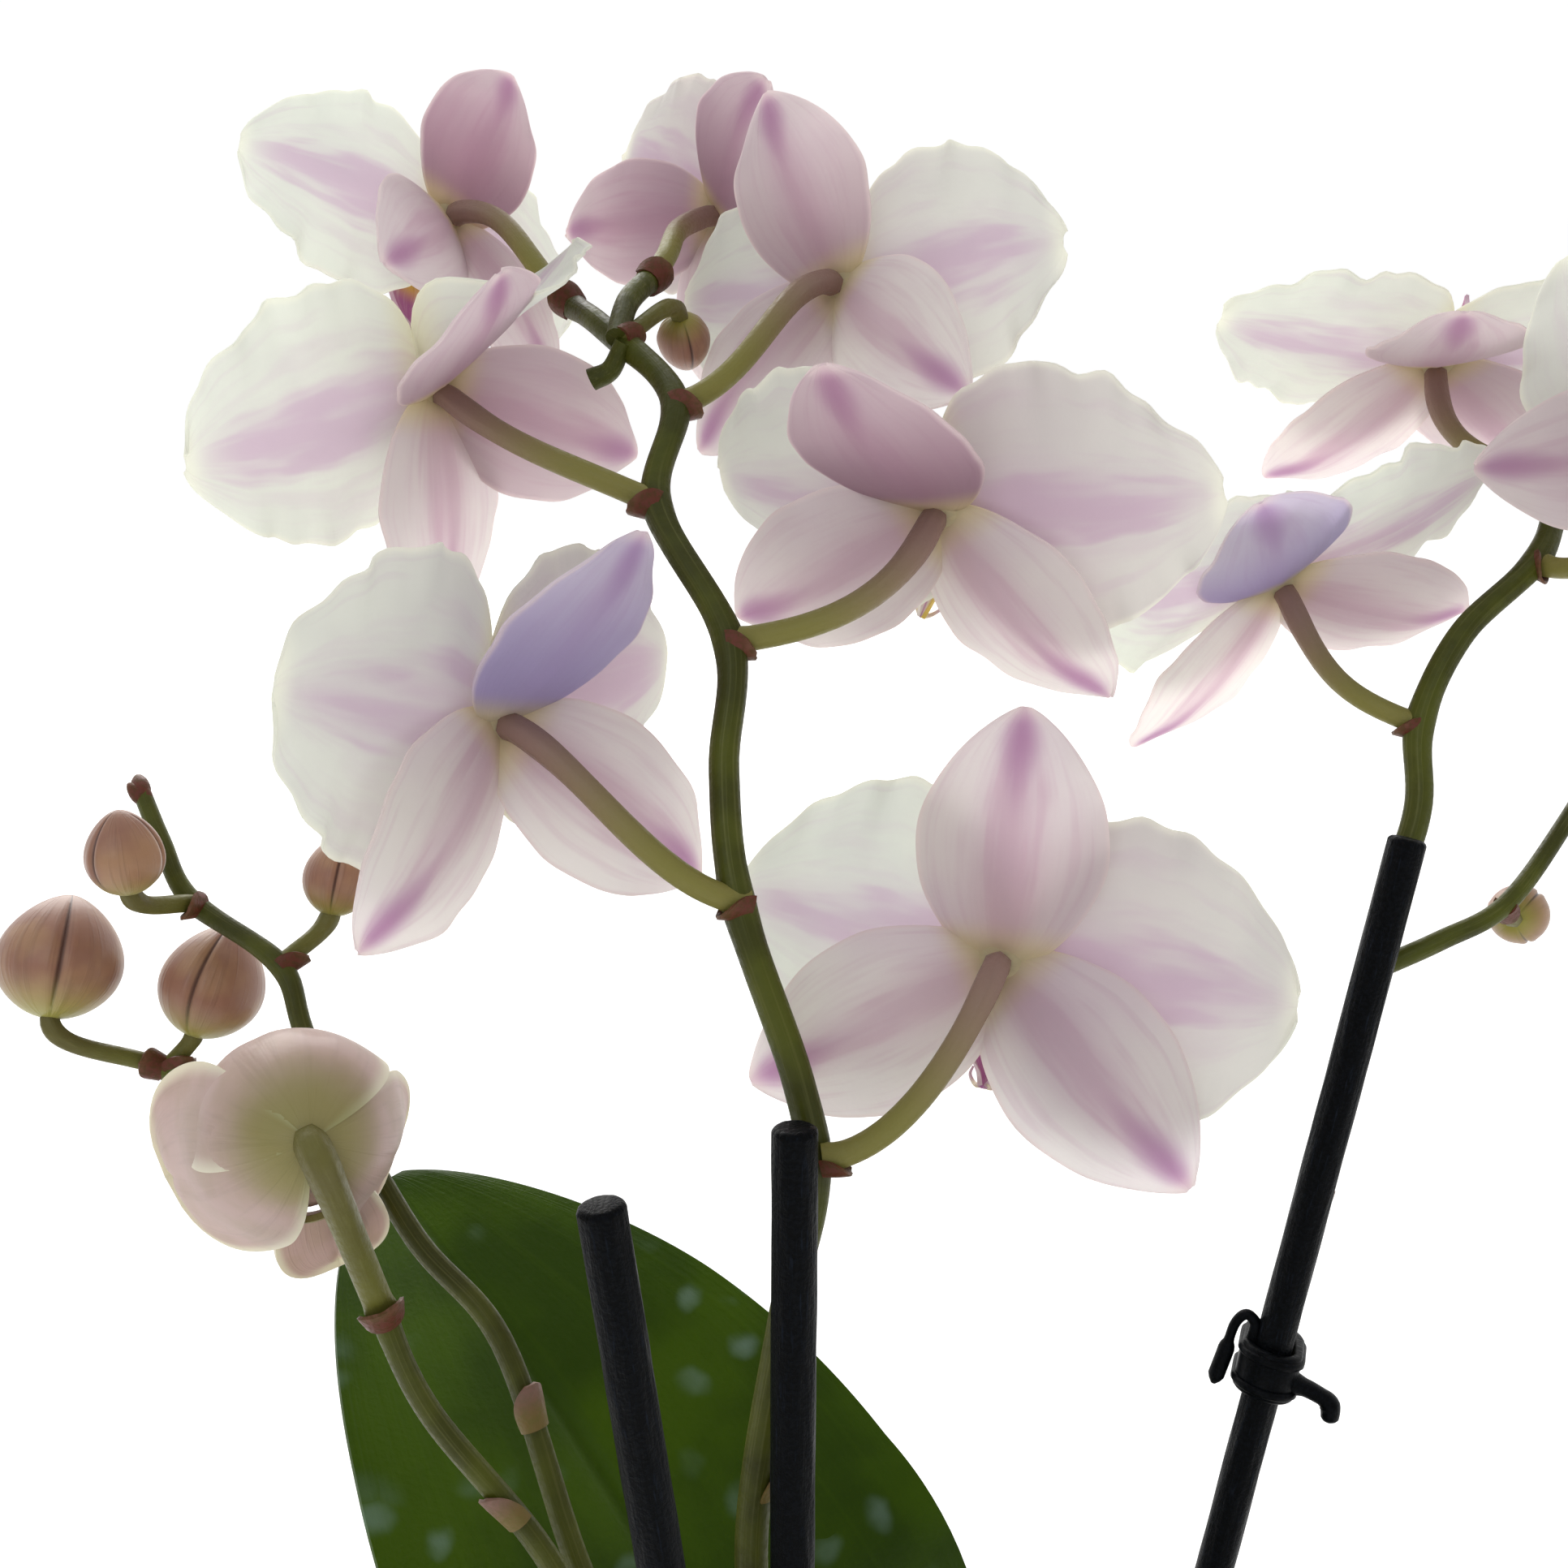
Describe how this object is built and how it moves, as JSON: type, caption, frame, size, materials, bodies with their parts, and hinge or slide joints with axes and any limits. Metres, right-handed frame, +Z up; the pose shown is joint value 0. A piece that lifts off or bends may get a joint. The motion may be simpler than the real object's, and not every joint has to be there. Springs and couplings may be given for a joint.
{
  "type": "potted orchid",
  "caption": "Moth orchid with many small pale lilac flowers and buds on staked, clipped spikes, broad leaves and a plain tapered pot filled with bark.",
  "frame": {"origin": "middle of the pot's flat underside", "axes": "+Z up, along the pot's axis; the flowers face +Y; +X is to the right when the plant is seen from behind its flowers, from -Y"},
  "size_m": [0.3193, 0.2617, 0.4633],
  "materials": {
    "pot_glaze": "satin",
    "bark": "rough",
    "stake_plastic": "matte",
    "stem_skin": "waxy",
    "sepal": "soft",
    "petal": "soft",
    "lip": "waxy",
    "bud_skin": "waxy",
    "leaf_skin": "semi-gloss",
    "root_skin": "matte"
  },
  "bodies": {
    "root": {"bark": "bark", "bud_1": "bud_skin", "bud_2": "bud_skin", "bud_3": "bud_skin", "bud_4": "bud_skin", "bud_5": "bud_skin", "bud_6": "bud_skin", "bud_7": "bud_skin", "bud_8": "bud_skin", "clip_centre": "stake_plastic", "clip_left": "stake_plastic", "clip_right": "stake_plastic", "crown": "stem_skin", "flower_10_lip": "lip", "flower_10_petals": "petal", "flower_10_sepals": "sepal", "flower_1_lip": "lip", "flower_1_petals": "petal", "flower_1_sepals": "sepal", "flower_2_lip": "lip", "flower_2_petals": "petal", "flower_2_sepals": "sepal", "flower_3_lip": "lip", "flower_3_petals": "petal", "flower_3_sepals": "sepal", "flower_4_lip": "lip", "flower_4_petals": "petal", "flower_4_sepals": "sepal", "flower_5_lip": "lip", "flower_5_petals": "petal", "flower_5_sepals": "sepal", "flower_6_lip": "lip", "flower_6_petals": "petal", "flower_6_sepals": "sepal", "flower_7_lip": "lip", "flower_7_petals": "petal", "flower_7_sepals": "sepal", "flower_8_lip": "lip", "flower_8_petals": "petal", "flower_8_sepals": "sepal", "flower_9_lip": "lip", "flower_9_petals": "petal", "flower_9_sepals": "sepal", "leaf_1": "leaf_skin", "leaf_2": "leaf_skin", "leaf_3": "leaf_skin", "leaf_4": "leaf_skin", "leaf_5": "leaf_skin", "pot": "pot_glaze", "root_1": "root_skin", "root_2": "root_skin", "spike_centre": "stem_skin", "spike_left_back": "stem_skin", "spike_left_front": "stem_skin", "spike_right": "stem_skin", "stake_centre": "stake_plastic", "stake_left": "stake_plastic", "stake_right": "stake_plastic"}
  },
  "joints": []
}
